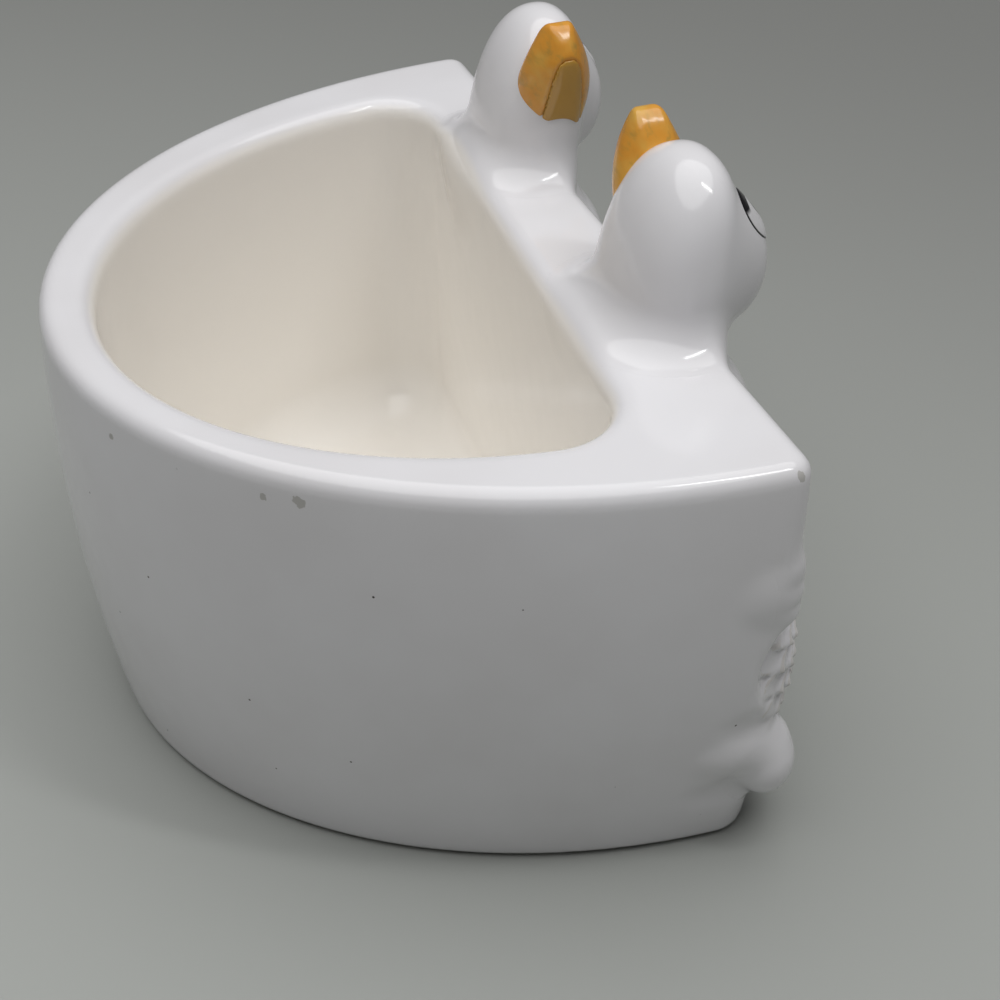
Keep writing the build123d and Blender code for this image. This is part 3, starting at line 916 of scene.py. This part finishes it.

# %% [markdown]
# ## Eye enamel
# White ground, a fine black line round the back of the oval, a heavy upper lid and a round pupil
# with a small painted highlight left white in it. The eye's own map gives the place, so both eyes are
# painted alike.
# Each stroke is an oval, given by its middle and half sizes in that map, with a soft edge.

# %% Eye enamel
EYE_WHITE, EYE_BLACK = (0.80, 0.80, 0.81), (0.012, 0.012, 0.014)
LINE_OVAL, LINE_EDGE, LINE_BACK = (0.0, 0.0, 1.0, 1.0), (0.92, 0.96), (0.3, -0.1)
LID_OVAL, LID_EDGE, LID_UP = (0.1, -0.2, 1.04, 1.0), (0.80, 0.86), (0.25, 0.45)
PUPIL_OVAL, PUPIL_EDGE = (0.38, 0.12, 0.42, 0.40), (0.94, 1.04)
# Painted highlight: a small white spot kept in the pupil.
PUPIL_HIGHLIGHT_OVAL, PUPIL_HIGHLIGHT_EDGE = (0.5, 0.3, 0.13, 0.11), (0.9, 1.1)
EYE_ROUGHNESS, EYE_RIPPLE = (0.05, 0.10), 0.05 * MM


def make_eye_enamel():
    """White enamel with a black line, lid and pupil, and a painted highlight in the pupil."""
    material, tree, shader = new_material("eye_enamel")
    depth = place_group(tree, depth_group, Cloud_Scale=300.0, Ripple_Scale=900.0)
    plane = add(tree, "UVMap", uv_map=EYE_MAP)
    split = add(tree, "SeparateXYZ")
    tree.links.new(plane.outputs["UV"], split.inputs["Vector"])
    forward, upward = split.outputs["X"], split.outputs["Y"]

    def outside(oval_shape, edge):
        """0 inside an oval, 1 outside, with a soft edge."""
        x, y, wide, high = oval_shape
        a = math_node(tree, "DIVIDE", math_node(tree, "SUBTRACT", forward, x), wide)
        b = math_node(tree, "DIVIDE", math_node(tree, "SUBTRACT", upward, y), high)
        squares = [math_node(tree, "MULTIPLY", side, side) for side in (a, b)]
        share = math_node(tree, "SQRT", math_node(tree, "ADD", *squares))
        return between(tree, share, *edge)

    line = math_node(tree, "MULTIPLY", outside(LINE_OVAL, LINE_EDGE), between(tree, forward, *LINE_BACK))
    lid = math_node(tree, "MULTIPLY", outside(LID_OVAL, LID_EDGE), between(tree, upward, *LID_UP))
    pupil = math_node(tree, "SUBTRACT", 1.0, outside(PUPIL_OVAL, PUPIL_EDGE))
    # Painted highlight: the small white spot is taken out of the black pupil.
    painted_highlight = math_node(tree, "SUBTRACT", 1.0, outside(PUPIL_HIGHLIGHT_OVAL, PUPIL_HIGHLIGHT_EDGE))
    black = math_node(tree, "MAXIMUM", math_node(tree, "MAXIMUM", line, lid), pupil)
    black = math_node(tree, "SUBTRACT", black, painted_highlight, clamp=True)
    ground = mix_colour(tree, depth.outputs["Cloud"], EYE_WHITE, WHITE)
    tree.links.new(mix_colour(tree, black, ground, EYE_BLACK), shader.inputs["Base Color"])
    rough = cloudy_roughness(tree, depth.outputs["Cloud"], *EYE_ROUGHNESS)
    tree.links.new(rough, shader.inputs["Roughness"])
    low_bump(tree, shader, depth.outputs["Ripple"], EYE_RIPPLE)
    return material


eye_enamel = make_eye_enamel()
print(eye_enamel.name, "nodes:", len(eye_enamel.node_tree.nodes))

# %% [markdown]
# ## Dress the pieces
# Every piece rides on the one body, gets its finish in a material slot, and hides the CAD solids
# that it covers.

# %% Dress the pieces
GOOSE_NODES = ("goose_body", "goose_neck", "goose_head", "wing", "tail", "foot")


def dress(piece, material, nodes):
    """Finish, body, slot and CAD nodes of one piece."""
    piece.data.materials.append(material)
    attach(piece, "root")
    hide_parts(*nodes)


dress(pot, white_glaze, ["pot_shell"])
for side in SIDES:
    dress(geese[side], white_glaze, [f"{side}_{node}" for node in GOOSE_NODES])
    dress(bills["upper_bill_glaze"][side], bill_glaze, [f"{side}_upper_bill"])
    dress(bills["lower_bill_glaze"][side], bill_glaze, [f"{side}_lower_bill"])
    dress(eyes[side], eye_enamel, [f"{side}_eye"])

# %% [markdown]
# ## Floor and light
# A plain grey sheet with painted light on it: paler near the camera, and darker away from it and
# towards its right, as the light falls off. One broad lamp hangs overhead. The lamp is large, so the
# shadow under the pot is soft, and the walls, which turn away from it, fall to grey. A strip lamp in
# front adds little light, but the glaze mirrors it as crisp, slender highlights.

# %% Floor and light
FLOOR_LIT_NEAR, FLOOR_SHADED_FAR = (0.40, 0.415, 0.393), (0.23, 0.235, 0.224)
FLOOR_HALF, FLOOR_RUN, FLOOR_TURN, FLOOR_ROUGHNESS = 3.0, (-0.15, 0.35), 0.5, 0.8
LAMP_PLACE, LAMP_SIZE, LAMP_POWER = (0.0, 0.06, 1.1), 1.6, 13.0
GLINT_PLACE, GLINT_WIDTH, GLINT_HEIGHT, GLINT_POWER = (-0.31, -0.35, 1.0), 0.06, 0.4, 1.4
SKY, SKY_STRENGTH = (1.0, 0.96, 0.99), 0.075

sheet = bpy.data.meshes.new("floor_sheet")
corners = [(x * FLOOR_HALF, y * FLOOR_HALF, 0) for x, y in ((-1, -1), (1, -1), (1, 1), (-1, 1))]
sheet.from_pydata(corners, [], [(0, 1, 2, 3)])
floor = bpy.data.objects.new("floor_sheet", sheet)
bpy.context.scene.collection.objects.link(floor)
floor_paper, floor_tree, floor_shader = new_material("floor_paper")
floor_place = add(floor_tree, "TexCoord").outputs["Object"]
# Painted light: the sheet's colour darkens away from the camera and towards its right, as light falls
# off.
away = add(floor_tree, "VectorMath", operation="DOT_PRODUCT")
floor_tree.links.new(floor_place, away.inputs[0])
away.inputs[1].default_value = ahead + FLOOR_TURN * right
share = between(floor_tree, away.outputs["Value"], *FLOOR_RUN)
floor_colour = mix_colour(floor_tree, share, FLOOR_LIT_NEAR, FLOOR_SHADED_FAR)
floor_tree.links.new(floor_colour, floor_shader.inputs["Base Color"])
floor_shader.inputs["Roughness"].default_value = FLOOR_ROUGHNESS
sheet.materials.append(floor_paper)


def add_lamp(name, shape, place, width, height, power):
    """An area lamp that faces the origin."""
    light = bpy.data.lights.new(name, "AREA")
    light.shape = shape
    light.size = width
    light.size_y = height
    light.energy = power
    lamp = bpy.data.objects.new(name, light)
    bpy.context.scene.collection.objects.link(lamp)
    lamp.location = place
    lamp.rotation_euler = Vector(place).to_track_quat("Z", "Y").to_euler()


add_lamp("overhead_lamp", "DISK", LAMP_PLACE, LAMP_SIZE, LAMP_SIZE, LAMP_POWER)
add_lamp("glint_lamp", "RECTANGLE", GLINT_PLACE, GLINT_WIDTH, GLINT_HEIGHT, GLINT_POWER)

world = bpy.data.worlds.new("studio")
bpy.context.scene.world = world
world.use_nodes = True
world.node_tree.nodes["Background"].inputs["Color"].default_value = (*SKY, 1)
world.node_tree.nodes["Background"].inputs["Strength"].default_value = SKY_STRENGTH
bpy.context.scene.view_settings.view_transform = "Standard"
print("lamps:", LAMP_POWER, "and", GLINT_POWER, "W, sky:", SKY_STRENGTH)
